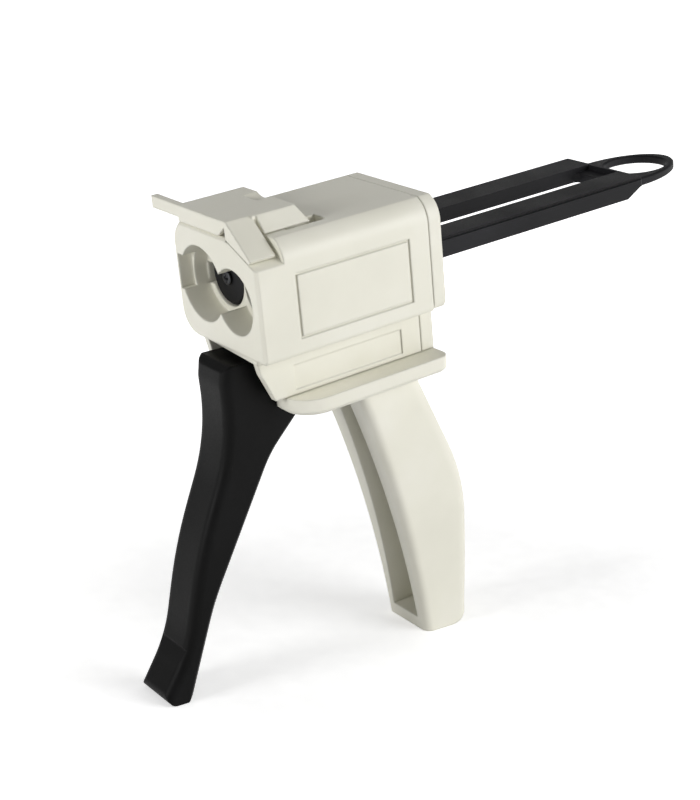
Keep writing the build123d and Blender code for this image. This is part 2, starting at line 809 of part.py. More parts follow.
def wire_section(x, y, z, wire, angle):
    """Cross-section of spring wire in the plane through the coil's axis."""
    return Pos(x, y, z) * Rot(0, angle, 0) * RegularPolygon(wire / 2, 6)


def make_trigger_spring():
    """Return spring beside the trigger's hub."""
    return coil(pivot_x, pivot_z, trigger_pin_radius + 0.9, 0.9, 2, trigger_spring_y + 0.75, 5.0)


def make_drive_pawl_spring():
    """Small spring that lifts the drive pawl towards the racks."""
    return coil(pawl_pin_x, pawl_pin_z, small_pin_radius + 0.4, 0.4, 2, arm_half_width + 0.5, 2.5)


def make_release_spring():
    """Spring in the middle of the release lever's pin, which lifts its claws."""
    return coil(lever_pivot_x, lever_pivot_z, small_pin_radius + 0.6, 0.6, 3, -1.3, 3.0)


def make_latch():
    """Cartridge latch: top plate with skirt, near wing, near arm, hook and finger tab."""
    low = body_height + gap
    under = latch_top - latch_wall
    latch = block(0, latch_length, latch_near, latch_far, under, latch_top)
    # Skirt: front band with its slanted end, far side and rear
    band = outline((latch_far, low), (notch_bottom_y, low), (notch_top_y, under + 0.5), (notch_top_y, latch_top),
                   (latch_far, latch_top))
    latch += beam(band, 0, latch_wall)
    latch += block(0, latch_length, latch_far - latch_wall, latch_far, low, latch_top)
    latch += block(latch_length - latch_wall + 0.6, latch_length, latch_near, latch_far, low, latch_top)
    # Near wing over the casing's shoulder
    wing = outline((latch_near + 1, latch_top), (latch_near, latch_top), (wing_bottom_y, wing_bottom_z),
                   (wing_bottom_y + 0.9, wing_bottom_z - 0.9), (latch_near, wing_inner_z),
                   (latch_near + 1, wing_inner_z + 0.5))
    latch += beam(wing, 0, wing_length)
    # Near arm with its slanted tail
    arm = outline((latch_near + 3, latch_top), (arm_top_y, latch_top), (arm_bottom_y, low), (latch_near + 0.4, low),
                  (latch_near + 0.4, under), (latch_near + 3, under))
    arm_bar = beam(arm, arm_start, arm_bottom_end + 1)
    tail = outline((arm_top_end, latch_top), (arm_bottom_end, low), (arm_bottom_end + 9, low),
                   (arm_bottom_end + 9, latch_top + 1), (arm_top_end, latch_top + 1))
    latch += arm_bar - slab(tail, -30, 30)
    latch += block(wing_length - 0.5, arm_start + 0.5, arm_top_y, latch_near + 1, under - 1, latch_top)
    # Hinge eye between the casing's lugs, finger tab on the far side, and hook
    eye0 = lug_near + lug_width / 2 + gap
    eye1 = lug_far - lug_width / 2 - gap
    latch += rod(latch_pin_x, latch_pin_z, latch_eye_radius, eye0, eye1)
    latch += block(latch_pin_x - latch_eye_radius, latch_pin_x + 1, eye0, eye1, latch_pin_z, latch_top)
    for y in (lug_near, lug_far):
        room = lug_width / 2 + gap
        latch -= rod(latch_pin_x, latch_pin_z, latch_eye_radius + gap, y - room, y + room)
        latch -= block(latch_pin_x - latch_eye_radius - gap, latch_length + over, y - room, y + room,
                       low - over, latch_pin_z)
    latch += block(0, tab_depth, latch_far - 1, tab_end, latch_top - tab_height, latch_top)
    latch += block(hook_front, hook_front + hook_length, hook_near, hook_far, body_height - hook_depth, under + 1)
    latch -= rod(latch_pin_x, latch_pin_z, latch_pin_radius + pin_gap, latch_pin_near - gap, latch_pin_far + gap)
    # Fingertip scoop at the back of the plate
    latch -= peg(scoop_y, latch_top + scoop_radius - scoop_depth, scoop_radius, scoop_start, latch_length + over)
    return latch


def make_latch_pin():
    """Steel hinge pin of the latch, held in the casing's lugs."""
    return rod(latch_pin_x, latch_pin_z, latch_pin_radius, latch_pin_near, latch_pin_far)


def stand(solid):
    """Lean the tool forward and bring the middle of the handle foot to the origin."""
    turned = Rot(0, -lean, 0) * solid
    x = foot_x * cos(radians(lean)) - foot_z * sin(radians(lean))
    z = foot_x * sin(radians(lean)) + foot_z * cos(radians(lean))
    return Pos(-x, 0, -z) * turned


def main():
    """Make every piece, stand the tool on its foot and write one file for each."""
    pieces = {
        "front_housing": make_housing(),
        "rear_cap": make_rear_cap(),
        "handle_frame": make_handle_frame(),
        "trigger": make_trigger(),
        "trigger_pin": make_trigger_pin(),
        "trigger_bushes": make_trigger_bushes(),
        "trigger_spring": make_trigger_spring(),
        "drive_pawl": make_drive_pawl(),
        "drive_pawl_pin": make_drive_pawl_pin(),
        "drive_pawl_spring": make_drive_pawl_spring(),
        "release_lever": make_release_lever(),
        "release_pin": make_release_pin(),
        "release_spring": make_release_spring(),
        "plunger": make_plunger(),
        "large_disc": make_disc(0),
        "small_disc": make_disc(1),
        "latch": make_latch(),
        "latch_pin": make_latch_pin(),
        "cap_screws": make_cap_screws(),
        "frame_screw": make_frame_screw(),
    }
    os.makedirs("parts", exist_ok=True)
    for name, solid in pieces.items():
        export_step(stand(solid), f"parts/{name}.step")


main()
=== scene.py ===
import json
import math

import bmesh
import bpy
import numpy as np
from bpy.props import FloatProperty, FloatVectorProperty, PointerProperty, StringProperty
from bpy.types import Operator, Panel, PropertyGroup
from mathutils import Matrix, Vector


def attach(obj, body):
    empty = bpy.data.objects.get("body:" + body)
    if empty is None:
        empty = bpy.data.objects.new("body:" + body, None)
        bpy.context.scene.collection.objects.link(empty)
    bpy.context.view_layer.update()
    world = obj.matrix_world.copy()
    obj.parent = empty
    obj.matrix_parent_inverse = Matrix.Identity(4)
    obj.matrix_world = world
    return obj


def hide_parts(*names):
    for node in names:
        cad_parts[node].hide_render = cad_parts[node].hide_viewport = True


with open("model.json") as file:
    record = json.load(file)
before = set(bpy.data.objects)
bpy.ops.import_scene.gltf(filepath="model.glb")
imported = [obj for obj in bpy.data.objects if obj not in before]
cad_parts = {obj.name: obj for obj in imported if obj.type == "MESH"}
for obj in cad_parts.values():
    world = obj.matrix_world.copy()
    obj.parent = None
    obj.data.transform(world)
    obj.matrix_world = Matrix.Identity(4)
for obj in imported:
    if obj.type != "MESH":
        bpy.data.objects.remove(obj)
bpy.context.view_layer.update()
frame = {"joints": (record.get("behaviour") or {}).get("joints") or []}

bl_info = {
    "name": "Dental dispensing gun",
    "version": (1, 0, 0),
    "blender": (4, 5, 0),
    "location": "3D View > Sidebar > Dispenser",
    "description": "Finishes, springs and screws of a dental dispensing gun, and its studio",
    "category": "Object",
}

MM = 0.001

# The tool stands on its handle foot, leaning forward. Springs and screws are drawn in the
# barrel's own frame, in millimetres: X rearward from the muzzle, Y to the large barrel, Z up
# from the casing floor. FOOT is the middle of the handle's foot there.
LEAN = math.radians(6.8)
FOOT = (62.0, 0.0, -116.1)

# Torsion springs, each round the pivot of a joint: the CAD spring that it stands for, the
# joint, the body that it moves with, and its sizes in millimetres
SPRINGS = [
    ("trigger_spring", "trigger_pivot", "frame",
     {"coil_radius": 2.9, "wire": 0.9, "turns": 2, "first_y": 4.15, "leg": 5.0}),
    ("drive_pawl_spring", "drive_pawl_pivot", "drive_pawl",
     {"coil_radius": 1.9, "wire": 0.4, "turns": 2, "first_y": 3.5, "leg": 2.5}),
    ("release_spring", "release_lever_pivot", "frame",
     {"coil_radius": 2.1, "wire": 0.6, "turns": 3, "first_y": -1.3, "leg": 3.0}),
]

# Screws in millimetres, and the middles of their heads' faces: two in the rear cap, one under
# the flange and one in each disc
LONG_SCREW = {"head_radius": 2.6, "head_height": 1.8, "shank_radius": 1.3, "recess": 1.0}
SHORT_SCREW = {"head_radius": 2.3, "head_height": 1.1, "shank_radius": 1.0, "recess": 0.7,
               "length": 1.6, "pitch": 0.7}
CAP_SCREW_FACES = [(65.7, -17.2, 6.0), (65.7, 17.2, 8.2)]
FRAME_SCREW_FACE = (49.5, 0.0, -22.3)
DISC_SCREW_FACES = [(8.25, 8.7, 17.8), (8.25, -9.1, 17.1)]

# How finely their grids are divided: a spring's wire round itself, along one turn and along a
# leg, and a screw round itself, across its face, round its rim, under its head and along one
# pitch of its thread
WIRE_SIDES, COIL_SECTIONS, LEG_SECTIONS = 14, 56, 30
SCREW_SIDES, FACE_RINGS, RIM_RINGS, UNDER_RINGS, THREAD_RINGS = 96, 44, 9, 5, 12
# Points of a closed grid that are nearer than this, in millimetres, are one
POLE_GAP = 0.0005

# Sizes in millimetres of what every moulded plastic here shows: the slow drift of its
# pigment, its dark specks, and the patches that hands have rubbed
MOTTLE_SIZE = 28.0
SPECK_SIZE = 1.1
RUB_SIZE = 14.0
# An edge's painted highlight, a band mixed towards the light colour, is this many times as wide
# as its rounding. It fades in as the cosine of the angle from the surface's normal to the
# rounded one falls from FLAT to SHARP.
EDGE_BAND = 1.6
FLAT, SHARP = 0.995, 0.80
BEVEL_SAMPLES = 6
# How far grain makes a plastic smoother and rougher, and lines a steel, and the relief of the
# lines in millimetres
GRAIN_SMOOTHER, GRAIN_ROUGHER = 0.05, 0.07
LINES_SMOOTHER, LINES_ROUGHER = 0.06, 0.1
LINES_RELIEF = 0.004
# Sockets of a Mix node that mixes colours
FACTOR, COLOUR_A, COLOUR_B, MIXED = 0, 6, 7, 2

# Floor in metres: it runs flat, then curves up behind the tool as a quarter circle, and is
# turned to face the camera. Its clouds of fibre are in millimetres.
FLOOR_HALF_WIDTH, FLOOR_HALF_DEPTH = 3.0, 2.5
FLOOR_ROWS, FLOOR_COLUMNS = 31, 61
RISE_START, RISE_RADIUS = 1.2, 0.8
FLOOR_TURN = math.radians(-35)
PAPER_FIBRE = 6.0

# Point that both lamps face, and the camera's axes, to the picture's right and ahead. They
# were fitted to the straight edges of the casing.
LAMP_TARGET = (-0.02, 0.0, 0.08)
CAMERA_RIGHT = (0.81824, -0.57479, 0.00976)
CAMERA_AHEAD = (0.54694, 0.77314, -0.32112)
SENSOR_WIDTH = 36.0
CLIP_NEAR, CLIP_FAR = 0.01, 20.0


def lean(points):
    """Points in millimetres in the barrel's frame, turned by the lean about Y, in metres:
    x becomes x cos - z sin, and z becomes x sin + z cos."""
    x, y, z = np.moveaxis(np.asarray(points, float), -1, 0)
    c, s = math.cos(LEAN), math.sin(LEAN)
    return MM * np.stack([x * c - z * s, y, x * s + z * c], -1)


def place(points):
    """Points in millimetres in the barrel's frame, turned by the lean and moved so that the
    handle's foot is the origin, in metres."""
    return lean(points) - lean(FOOT)


def to_linear(colour):
    """sRGB hex colour such as #E8E5D5 as linear red, green, blue and a full alpha."""
    parts = [int(colour[i:i + 2], 16) / 255 for i in (1, 3, 5)]
    linear = [p / 12.92 if p <= 0.04045 else ((p + 0.055) / 1.055) ** 2.4 for p in parts]
    return (*linear, 1.0)


def add(tree, kind, inputs=None, stops=(), **settings):
    """Adds one node. settings are its own options. inputs maps a socket's name or number to a
    value, or to another node's output, which is linked. stops are the places and hex colours
    of a colour ramp, in order."""
    made = tree.nodes.new(kind)
    for name, value in settings.items():
        setattr(made, name, value)
    for name, value in (inputs or {}).items():
        if isinstance(value, bpy.types.NodeSocket):
            tree.links.new(value, made.inputs[name])
        else:
            made.inputs[name].default_value = value
    for number, (position, colour) in enumerate(stops):
        elements = made.color_ramp.elements
        element = elements[number] if number < len(elements) else elements.new(position)
        element.position = position
        element.color = to_linear(colour)
    return made


def start_material(name):
    """Empty node material, its tree and its object coordinates."""
    material = bpy.data.materials.new(name)
    material.use_nodes = True
    tree = material.node_tree
    tree.nodes.clear()
    coordinates = add(tree, "ShaderNodeTexCoord").outputs["Object"]
    return material, tree, coordinates


def moulded_plastic(name, dark, colour, light, roughness, grain, relief, edge_highlight,
                    edge_radius, gloss_level=0.5):
    """Injection-moulded plastic from a spark-eroded mould. Its pigment drifts slowly from
    dark through colour to light, with darker specks. A fine grain is in its gloss and its
    relief, and hands have rubbed patches of it. Its edges are rounded in the shading, and a
    painted highlight of the light colour lies along them; edge_highlight is how far that
    painted highlight goes towards the light colour. grain, relief and edge_radius are in
    millimetres. Specks and grain are drawn coarser than the tenth of a millimetre or so of the
    real ones, which would not show."""
    material, tree, coordinates = start_material(name)

    mottle = add(tree, "ShaderNodeTexNoise", {
        "Vector": coordinates, "Scale": 1 / (MOTTLE_SIZE * MM), "Detail": 3.0,
        "Roughness": 0.55})
    pigment = add(tree, "ShaderNodeValToRGB", {"Fac": mottle.outputs["Fac"]},
                  stops=[(0.3, dark), (0.5, colour), (0.72, light)])
    specks = add(tree, "ShaderNodeTexNoise", {
        "Vector": coordinates, "Scale": 1 / (SPECK_SIZE * MM), "Detail": 2.0,
        "Roughness": 0.6})
    speck_mask = add(tree, "ShaderNodeMapRange", {
        "Value": specks.outputs["Fac"], "From Min": 0.62, "From Max": 0.8,
        "To Min": 0.0, "To Max": 0.10})
    speckled = add(tree, "ShaderNodeMix", {
        FACTOR: speck_mask.outputs["Result"], COLOUR_A: pigment.outputs["Color"],
        COLOUR_B: to_linear(dark)}, data_type="RGBA", clamp_factor=True)

    # Every moulded edge has a small radius. A wider one finds a band along the edge, where the
    # rounded normal turns away from the surface's own, and that band gets a painted highlight.
    rounded = add(tree, "ShaderNodeBevel", {"Radius": edge_radius * MM},
                  samples=BEVEL_SAMPLES)
    wide = add(tree, "ShaderNodeBevel", {"Radius": EDGE_BAND * edge_radius * MM},
               samples=BEVEL_SAMPLES)
    surface = add(tree, "ShaderNodeNewGeometry")
    cosine = add(tree, "ShaderNodeVectorMath", {
        0: wide.outputs["Normal"], 1: surface.outputs["Normal"]}, operation="DOT_PRODUCT")
    edge = add(tree, "ShaderNodeMapRange", {
        "Value": cosine.outputs["Value"], "From Min": FLAT, "From Max": SHARP,
        "To Min": 0.0, "To Max": edge_highlight})
    # Painted highlight: the band along each edge is mixed towards the light colour, standing in
    # for the light that rounded edges catch.
    tone = add(tree, "ShaderNodeMix", {
        FACTOR: edge.outputs["Result"], COLOUR_A: speckled.outputs[MIXED],
        COLOUR_B: to_linear(light)}, data_type="RGBA", clamp_factor=True)

    fine = add(tree, "ShaderNodeTexNoise", {
        "Vector": coordinates, "Scale": 1 / (grain * MM), "Detail": 4.0, "Roughness": 0.65})
    gloss = add(tree, "ShaderNodeMapRange", {
        "Value": fine.outputs["Fac"], "From Min": 0.3, "From Max": 0.7,
        "To Min": roughness - GRAIN_SMOOTHER, "To Max": roughness + GRAIN_ROUGHER})
    handled = add(tree, "ShaderNodeTexNoise", {
        "Vector": coordinates, "Scale": 1 / (RUB_SIZE * MM), "Detail": 2.0})
    rubbed = add(tree, "ShaderNodeMapRange", {
        "Value": handled.outputs["Fac"], "From Min": 0.35, "From Max": 0.65,
        "To Min": -0.03, "To Max": 0.04})
    satin = add(tree, "ShaderNodeMath", {
        0: gloss.outputs["Result"], 1: rubbed.outputs["Result"]},
        operation="ADD", use_clamp=True)
    bump = add(tree, "ShaderNodeBump", {
        "Height": fine.outputs["Fac"], "Distance": relief * MM, "Strength": 1.0,
        "Normal": rounded.outputs["Normal"]})

    shader = add(tree, "ShaderNodeBsdfPrincipled", {
        "Base Color": tone.outputs[MIXED], "Roughness": satin.outputs["Value"],
        "Normal": bump.outputs["Normal"], "IOR": 1.5, "Specular IOR Level": gloss_level})
    add(tree, "ShaderNodeOutputMaterial", {"Surface": shader.outputs["BSDF"]})
    return material


def steel(name, dark, colour, light, roughness, line_spacing, stretch):
    """Bare or plated steel: metal with fine lines left by grinding, drawing or turning, in
    its tone, its gloss and its relief. The lines are line_spacing millimetres apart, a few
    times coarser than real ones, and stretched along Y."""
    material, tree, coordinates = start_material(name)
    stretched = add(tree, "ShaderNodeMapping", {
        "Vector": coordinates, "Scale": (1.0, 1 / stretch, 1.0)})
    lines = add(tree, "ShaderNodeTexNoise", {
        "Vector": stretched.outputs["Vector"], "Scale": 1 / (line_spacing * MM), "Detail": 3.0})
    tone = add(tree, "ShaderNodeValToRGB", {"Fac": lines.outputs["Fac"]},
               stops=[(0.3, dark), (0.5, colour), (0.7, light)])
    gloss = add(tree, "ShaderNodeMapRange", {
        "Value": lines.outputs["Fac"], "From Min": 0.3, "From Max": 0.7,
        "To Min": roughness - LINES_SMOOTHER, "To Max": roughness + LINES_ROUGHER})
    bump = add(tree, "ShaderNodeBump", {
        "Height": lines.outputs["Fac"], "Distance": LINES_RELIEF * MM})
    shader = add(tree, "ShaderNodeBsdfPrincipled", {
        "Base Color": tone.outputs["Color"], "Metallic": 1.0,
        "Roughness": gloss.outputs["Result"], "Normal": bump.outputs["Normal"]})
    add(tree, "ShaderNodeOutputMaterial", {"Surface": shader.outputs["BSDF"]})
    return material


def white_paper(studio):
    """Matt white paper with a faint cloud of fibres. To the camera, in gloss and through
    clear things it also glows: less near the tool, so that a soft shadow stays, and up to
    plain white farther away, as an overlit sweep does. The glow rises evenly with the
    distance from the origin, from the shadow's inner radius to its outer one."""
    material, tree, coordinates = start_material("white_paper_sweep")
    fibre = add(tree, "ShaderNodeTexNoise", {
        "Vector": coordinates, "Scale": 1 / (PAPER_FIBRE * MM), "Detail": 2.0})
    tone = add(tree, "ShaderNodeValToRGB", {"Fac": fibre.outputs["Fac"]},
               stops=[(0.4, studio.floor_colour), (0.6, "#FAFAFA")])
    paper = add(tree, "ShaderNodeBsdfPrincipled", {
        "Base Color": tone.outputs["Color"], "Roughness": 0.9})

    distance = add(tree, "ShaderNodeVectorMath", {0: coordinates}, operation="LENGTH")
    rise = add(tree, "ShaderNodeMapRange", {
        "Value": distance.outputs["Value"], "From Min": studio.shadow_inner,
        "From Max": studio.shadow_outer, "To Min": studio.shadow_glow, "To Max": 1.0})
    path = add(tree, "ShaderNodeLightPath")
    seen = add(tree, "ShaderNodeMath", {
        0: path.outputs["Is Camera Ray"], 1: path.outputs["Is Glossy Ray"]},
        operation="MAXIMUM")
    seen = add(tree, "ShaderNodeMath", {
        0: seen.outputs["Value"], 1: path.outputs["Is Transmission Ray"]},
        operation="MAXIMUM")
    strength = add(tree, "ShaderNodeMath", {
        0: seen.outputs["Value"], 1: rise.outputs["Result"]}, operation="MULTIPLY")
    glow = add(tree, "ShaderNodeEmission", {
        "Color": to_linear("#FFFFFF"), "Strength": strength.outputs["Value"]})
    both = add(tree, "ShaderNodeAddShader", {
        0: paper.outputs["BSDF"], 1: glow.outputs["Emission"]})
    add(tree, "ShaderNodeOutputMaterial", {"Surface": both.outputs["Shader"]})
    return material


def give(material, *names):
    """Puts one material on CAD nodes or new pieces, by name."""
    for name in names:
        piece = bpy.data.objects[name]
        piece.data.materials.clear()
        piece.data.materials.append(material)


def wire_spring(coil_radius, wire, turns, first_y, leg, pitch):
    """Grid of a torsion spring of round wire about a pin along Y, in millimetres. Its line is
    a helix: x = -R cos a, z = -R sin a, with y growing by the pitch in each turn. At each end
    of the helix a straight leg stands up, drawn out and back along one line. Round the line
    runs a circle of the wire's radius, square to it, which shrinks to a point at both ends as
    a half sphere does."""
    angle = np.linspace(0, 2 * math.pi * (turns + 0.5), COIL_SECTIONS * turns)
    helix = np.stack([-coil_radius * np.cos(angle), first_y + pitch * angle / (2 * math.pi),
                      -coil_radius * np.sin(angle)], -1)
    quarter = np.linspace(0, math.pi / 2, LEG_SECTIONS)[1:]
    rise = leg * (1 - np.sin(quarter))[:, None] * np.array([0.0, 0.0, 1.0])
    line = np.concatenate([helix[0] + rise[::-1], helix, helix[-1] + rise])

    ahead = np.gradient(line, axis=0)
    ahead /= np.linalg.norm(ahead, axis=1, keepdims=True)
    side = np.cross(ahead, (0.0, 1.0, 0.0))
    side /= np.linalg.norm(side, axis=1, keepdims=True)
    up = np.cross(side, ahead)
    run = np.concatenate([[0.0], np.cumsum(np.linalg.norm(np.diff(line, axis=0), axis=1))])
    near_end = np.clip(np.minimum(run, run[-1] - run) / (wire / 2), 0, 1)
    size = (wire / 2) * np.sqrt(1 - (1 - near_end) ** 2)
    turn = np.linspace(0, 2 * math.pi, WIRE_SIDES, endpoint=False)[None, :, None]
    ring = np.cos(turn) * side[:, None, :] + np.sin(turn) * up[:, None, :]
    return line[:, None, :] + size[:, None, None] * ring


def screw(head_radius, head_height, shank_radius, length, pitch, recess):
    """Grid of a cross-head screw along its own Z, in millimetres, the middle of its head's
    face at zero and its shank down. Its profile runs out over the face, round the rim, in
    under the head, down the shank and to the tip. On the shank the radius is the shank's less
    half the thread's depth times 1 - cos(2 pi z / pitch - turn), fading in over the first
    pitch. The face sinks by a crown that grows with the radius squared, and by the recess
    inside a cross: both the distance across the nearer arm and the distance along it decide
    how far, and the cross gets shallower outwards."""
    rim = min(0.35, 0.3 * head_height)
    half_thread = 0.06 * shank_radius
    crown = 0.12 * head_height
    arm_half_width, arm_reach = 0.13 * head_radius, 0.6 * head_radius
    arm_edge = 0.08 * head_radius
    shallower = 0.45 / head_radius
    tip_radius, tip_height = 0.55 * shank_radius, 0.8 * shank_radius
    seat, end = -head_height, -head_height - length

    # Profile as stretches of radius and z
    quarter = np.linspace(0, math.pi / 2, RIM_RINGS)
    thread_z = np.linspace(seat, end + tip_height, max(8, int(THREAD_RINGS * length / pitch)))
    stretches = [
        (np.linspace(0, head_radius - rim, FACE_RINGS), np.zeros(FACE_RINGS)),
        (head_radius - rim + rim * np.sin(quarter), rim * (np.cos(quarter) - 1)),
        (np.array([head_radius]), np.array([seat])),
        (np.linspace(head_radius, shank_radius, UNDER_RINGS), np.full(UNDER_RINGS, seat)),
        (np.full(len(thread_z), shank_radius), thread_z),
        (np.array([tip_radius, 0.0]), np.array([end, end])),
    ]
    radius, z = (np.concatenate(part)[:, None] for part in zip(*stretches))
    stretch = np.repeat(np.arange(len(stretches)), [len(r) for r, _ in stretches])[:, None]
    on_head, on_shank = stretch < 2, stretch == 4

    turn = np.linspace(0, 2 * math.pi, SCREW_SIDES, endpoint=False)
    threaded = np.clip((seat - z) / pitch, 0, 1) * on_shank
    radius = radius - half_thread * threaded * (1 - np.cos(2 * math.pi * z / pitch - turn))
    u, v = radius * np.cos(turn), radius * np.sin(turn)
    nearer, farther = np.minimum(abs(u), abs(v)), np.maximum(abs(u), abs(v))
    cross = (np.clip((arm_half_width - nearer) / arm_edge + 0.5, 0, 1)
             * np.clip((arm_reach - farther) / arm_edge, 0, 1))
    sunk = crown * (radius / head_radius) ** 2 + recess * cross * (1 - shallower * farther)
    return np.stack([u, v, z - on_head * sunk], -1)


def turn_screw(points, face, towards):
    """Screw moved so that the middle of its face is at a point, facing along -X, +X or -Z."""
    u, v, w = np.moveaxis(points, -1, 0)
    axes = {"-X": (-w, u, v), "+X": (w, u, v), "-Z": (u, v, -w)}[towards]
    return np.stack(axes, -1) + np.asarray(face)


def grid_piece(name, grids, body=None, closed=True):
    """Smooth mesh from a list of grids of points in metres, whose two parameters run along
    their first and second axes. A closed grid's second parameter runs all the way round, and
    its faces are turned outwards by the sign of its volume. Its poles, where a whole ring is
    one point, are merged."""
    corners, faces, count = [], [], 0
    for points in grids:
        rows, columns = points.shape[:2]
        index = np.arange(rows * columns).reshape(rows, columns)
        if closed:
            index = np.concatenate([index, index[:, :1]], 1)
        quads = np.stack([index[:-1, :-1], index[1:, :-1], index[1:, 1:], index[:-1, 1:]], -1)
        quads = quads.reshape(-1, 4)
        flat = points.reshape(-1, 3)
        a, b, c, d = np.moveaxis((flat - flat.mean(0))[quads], 1, 0)
        if closed and np.einsum("ij,ij->", a, np.cross(b, c) + np.cross(c, d)) < 0:
            quads = quads[:, ::-1]
        corners.append(flat)
        faces.append(quads + count)
        count += len(flat)
    faces = np.concatenate(faces)
    mesh = bpy.data.meshes.new(name)
    mesh.from_pydata(np.concatenate(corners).tolist(), [], faces.tolist())
    mesh.polygons.foreach_set("use_smooth", np.ones(len(faces), bool))
    if closed:
        poles = bmesh.new()
        poles.from_mesh(mesh)
        bmesh.ops.remove_doubles(poles, verts=poles.verts, dist=POLE_GAP * MM)
        poles.to_mesh(mesh)
        poles.free()
    mesh.update()
    made = bpy.data.objects.new(name, mesh)
    bpy.context.scene.collection.objects.link(made)
    if body:
        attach(made, body)
    return made


def make_floor():
    """Pale sweep. Its height over its depth is flat, then a quarter circle, then upright."""
    x, depth = np.meshgrid(np.linspace(-FLOOR_HALF_WIDTH, FLOOR_HALF_WIDTH, FLOOR_ROWS),
                           np.linspace(-FLOOR_HALF_DEPTH, FLOOR_HALF_DEPTH, FLOOR_COLUMNS),
                           indexing="ij")
    turn = np.clip((depth - RISE_START) / RISE_RADIUS, 0, math.pi / 2)
    upright = np.clip(depth - RISE_START - RISE_RADIUS * math.pi / 2, 0, None)
    y = np.where(depth < RISE_START, depth, RISE_START + RISE_RADIUS * np.sin(turn))
    z = RISE_RADIUS * (1 - np.cos(turn)) + upright
    floor = grid_piece("floor", [np.stack([x, y, z], -1)], closed=False)
    floor.data.transform(Matrix.Rotation(FLOOR_TURN, 4, "Z"))
    return floor


def make_lamp(name, stand, size, power):
    """Rectangular soft lamp that stands at a point and faces the tool."""
    light = bpy.data.lights.new(name, "AREA")
    light.shape = "RECTANGLE"
    light.size, light.size_y = size
    light.energy = power
    made = bpy.data.objects.new(name, light)
    bpy.context.scene.collection.objects.link(made)
    made.location = stand
    aim = Vector(LAMP_TARGET) - Vector(stand)
    made.rotation_euler = aim.to_track_quat("-Z", "Y").to_euler()


def make_world(strength):
    """Plain white surround, weak as a light and white to the camera."""
    world = bpy.data.worlds.new("studio_world")
    bpy.context.scene.world = world
    world.use_nodes = True
    tree = world.node_tree
    tree.nodes.clear()
    path = add(tree, "ShaderNodeLightPath")
    seen = add(tree, "ShaderNodeMapRange", {
        "Value": path.outputs["Is Camera Ray"], "To Min": strength, "To Max": 1.0})
    shader = add(tree, "ShaderNodeBackground", {
        "Color": to_linear("#FFFFFF"), "Strength": seen.outputs["Result"]})
    add(tree, "ShaderNodeOutputWorld", {"Surface": shader.outputs["Background"]})


def make_camera(stand, lens):
    """Camera at the picture's viewing angle, and in use."""
    data = bpy.data.cameras.new("camera")
    data.sensor_width = SENSOR_WIDTH
    data.lens = lens
    data.clip_start, data.clip_end = CLIP_NEAR, CLIP_FAR
    camera = bpy.data.objects.new("camera", data)
    bpy.context.scene.collection.objects.link(camera)
    right, ahead = Vector(CAMERA_RIGHT), Vector(CAMERA_AHEAD)
    turn = Matrix((right, right.cross(ahead), -ahead)).transposed().to_4x4()
    camera.matrix_world = Matrix.Translation(Vector(stand)) @ turn
    bpy.context.scene.camera = camera


class ShellSettings(PropertyGroup):
    """Ivory casing, rear cap, handle frame and latch."""

    colour: StringProperty(name="Shell colour", description="Ivory of the shell, as sRGB hex",
                           default="#E9E7D9")
    dark: StringProperty(name="Dark shell", description="Its darker drift and its specks",
                         default="#E5E3D5")
    # The light shade is also the colour of the painted highlight along the edges.
    light: StringProperty(name="Light shell", description="Its lighter drift and its edges",
                          default="#EDEBDF")
    roughness: FloatProperty(name="Shell roughness", description="Satin of the shell",
                             default=0.42, min=0.05, max=1.0, subtype="FACTOR")


class TriggerSettings(PropertyGroup):
    """Black trigger."""

    colour: StringProperty(name="Trigger colour", description="Its black, as sRGB hex",
                           default="#090909")
    dark: StringProperty(name="Dark trigger", description="Its darker drift and its specks",
                         default="#060606")
    # The light shade is also the colour of the painted highlight along the edges.
    light: StringProperty(name="Light trigger", description="Its lighter drift and its edges",
                          default="#121213")
    roughness: FloatProperty(name="Trigger roughness", description="Satin of the trigger",
                             default=0.46, min=0.05, max=1.0, subtype="FACTOR")


class PlungerSettings(PropertyGroup):
    """Plunger and its discs."""

    colour: StringProperty(name="Plunger colour", description="Its black, as sRGB hex",
                           default="#151517")
    dark: StringProperty(name="Dark plunger", description="Its darker drift and its specks",
                         default="#101012")
    # The light shade is also the colour of the painted highlight along the edges.
    light: StringProperty(name="Light plunger", description="Its lighter drift and its edges",
                          default="#232326")
    roughness: FloatProperty(name="Plunger roughness", description="Matt of the plunger",
                             default=0.55, min=0.05, max=1.0, subtype="FACTOR")


class WorksSettings(PropertyGroup):
    """Pawls, bushes, pins and springs."""

    pawl_colour: StringProperty(name="Pawl colour", description="Black acetal, as sRGB hex",
                                default="#242426")
    bush_colour: StringProperty(name="Bush colour", description="Natural acetal, as sRGB hex",
                                default="#E6E5DF")
    pin_colour: StringProperty(name="Pin colour", description="Ground steel, as sRGB hex",
                               default="#B9BBBE")
    spring_colour: StringProperty(name="Spring colour", description="Drawn steel, as sRGB hex",
                                  default="#A3A5A8")
    coil_pitch: FloatProperty(name="Coil pitch", description="In thicknesses of the wire",
                              default=1.25, min=1.0, max=3.0)


class ScrewSettings(PropertyGroup):
    """Screws of the rear cap, the frame and the discs."""

    colour: StringProperty(name="Screw colour", description="Zinc plate, as sRGB hex",
                           default="#C4C6C8")
    disc_colour: StringProperty(name="Disc screw colour", description="Dark coat, as sRGB hex",
                                default="#3D3E40")
    cap_length: FloatProperty(name="Cap screw length", description="Shank of a rear cap screw",
                              default=10.0 * MM, min=2.0 * MM, unit="LENGTH")
    frame_length: FloatProperty(name="Frame screw length", default=14.0 * MM, min=2.0 * MM,
                                description="Shank of the frame screw", unit="LENGTH")
    pitch: FloatProperty(name="Thread pitch", description="Pitch of the long screws",
                         default=0.9 * MM, min=0.3 * MM, unit="LENGTH")


